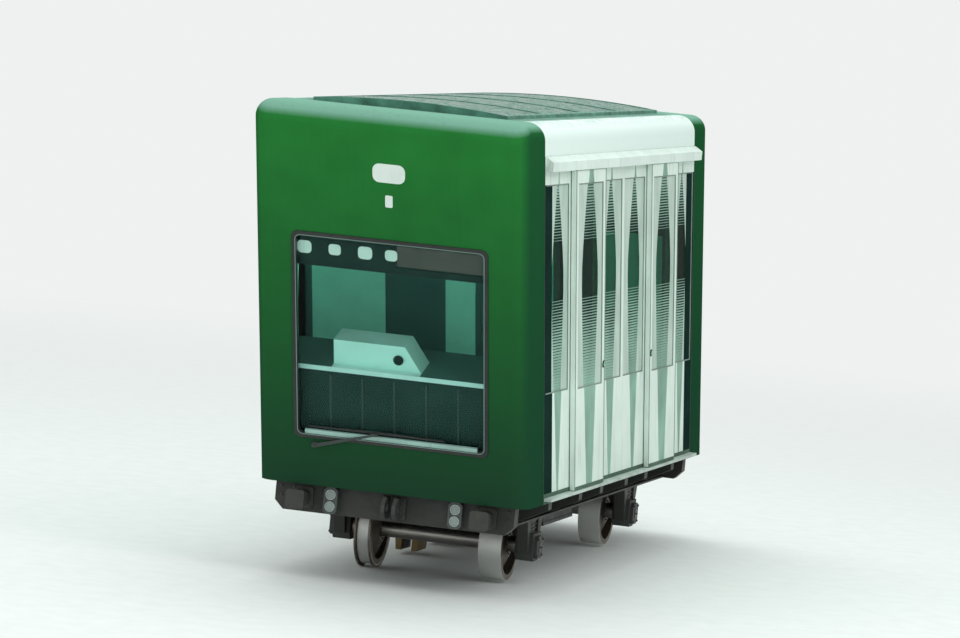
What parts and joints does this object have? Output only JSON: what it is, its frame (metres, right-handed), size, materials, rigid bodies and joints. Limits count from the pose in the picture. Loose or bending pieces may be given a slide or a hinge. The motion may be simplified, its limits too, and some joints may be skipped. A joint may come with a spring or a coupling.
{
  "type": "funicular railway car",
  "caption": "Funicular car with plumb ends on a sloped body: stepped floor, glazed cab ends, sliding side doors, and wheelsets with a guide wheel and a plain roller.",
  "frame": {"origin": "middle of the bounding box on the level floor that the wheel flanges stand on, on the centre line of the track", "axes": "+Y along the track to the downhill end, +Z square to the rails, +X to the right when looking downhill; plumb on the 20 degree line leans 20 degrees from +Z towards -Y"},
  "size_m": [2.328, 7.557, 3.8711],
  "materials": {
    "green_paint": "satin green paint",
    "side_paint": "satin green paint under a white film",
    "tinted_glass": "dark green tint",
    "roof_glass": "grey green tint",
    "roof_paint": "grey green paint",
    "black_rubber": "matt rubber",
    "clear_glass": "clear laminated glass",
    "bright_metal": "brushed",
    "floor_covering": "studded floor covering",
    "rail_paint": "white paint",
    "dark_panel": "dark grey panel",
    "pale_top": "pale laminate",
    "pale_housing": "pale moulding",
    "black_panel": "black panel",
    "bench_shell": "moulded bench",
    "black_paint": "black paint, dusty",
    "cast_housing": "cast and painted",
    "turned_steel": "turned",
    "wheel_steel": "worn bright on the tread",
    "lamp_housing": "lamp glass and bezel",
    "brake_paint": "yellow ochre paint, worn"
  },
  "bodies": {
    "root": {"axle_boxes": "cast_housing", "axle_springs": "black_rubber", "benches": "bench_shell", "buffers": "black_rubber", "cab_partitions": "dark_panel", "control_boxes": "pale_housing", "cross_beams": "black_paint", "desk_tops": "pale_top", "desks": "dark_panel", "display_bands": "black_panel", "door_rails_left": "rail_paint", "door_rails_right": "rail_paint", "end_wall_downhill": "green_paint", "end_wall_uphill": "green_paint", "grab_poles": "bright_metal", "head_lamps": "lamp_housing", "outriggers": "black_paint", "power_pack_case": "black_paint", "rail_brakes": "brake_paint", "roof": "roof_paint", "roof_lights": "roof_glass", "rope_anchors": "cast_housing", "side_wall_left": "side_paint", "side_wall_right": "side_paint", "side_windows_left": "tinted_glass", "side_windows_right": "tinted_glass", "sole_bars": "black_paint", "stepped_floor": "floor_covering", "windscreen_gaskets": "black_rubber", "windscreen_sills": "bright_metal", "windscreens": "clear_glass"},
    "door_uphill_right": {"door_uphill_right": "side_paint", "door_window_uphill_right": "tinted_glass"},
    "door_downhill_right": {"door_downhill_right": "side_paint", "door_window_downhill_right": "tinted_glass"},
    "door_uphill_left": {"door_uphill_left": "side_paint", "door_window_uphill_left": "tinted_glass"},
    "door_downhill_left": {"door_downhill_left": "side_paint", "door_window_downhill_left": "tinted_glass"},
    "wheelset_uphill": {"axle_uphill": "turned_steel", "guide_wheel_uphill": "wheel_steel", "roller_wheel_uphill": "wheel_steel"},
    "wheelset_downhill": {"axle_downhill": "turned_steel", "guide_wheel_downhill": "wheel_steel", "roller_wheel_downhill": "wheel_steel"}
  },
  "joints": [
    {"name": "wheelset_uphill_turn", "type": "hinge", "parent": "root", "child": "wheelset_uphill", "pos_m": [0, -1.23154, 0.324], "axis": [1, 0, 0], "continuous": true},
    {"name": "wheelset_downhill_turn", "type": "hinge", "parent": "root", "child": "wheelset_downhill", "pos_m": [0, 2.16846, 0.324], "axis": [1, 0, 0], "continuous": true},
    {"name": "door_uphill_right_slide", "type": "slide", "parent": "root", "child": "door_uphill_right", "axis": [0, -1, 0], "range_m": [0, 0.8]},
    {"name": "door_downhill_right_slide", "type": "slide", "parent": "root", "child": "door_downhill_right", "axis": [0, 1, 0], "range_m": [0, 0.8]},
    {"name": "door_uphill_left_slide", "type": "slide", "parent": "root", "child": "door_uphill_left", "axis": [0, -1, 0], "range_m": [0, 0.8]},
    {"name": "door_downhill_left_slide", "type": "slide", "parent": "root", "child": "door_downhill_left", "axis": [0, 1, 0], "range_m": [0, 0.8]}
  ]
}
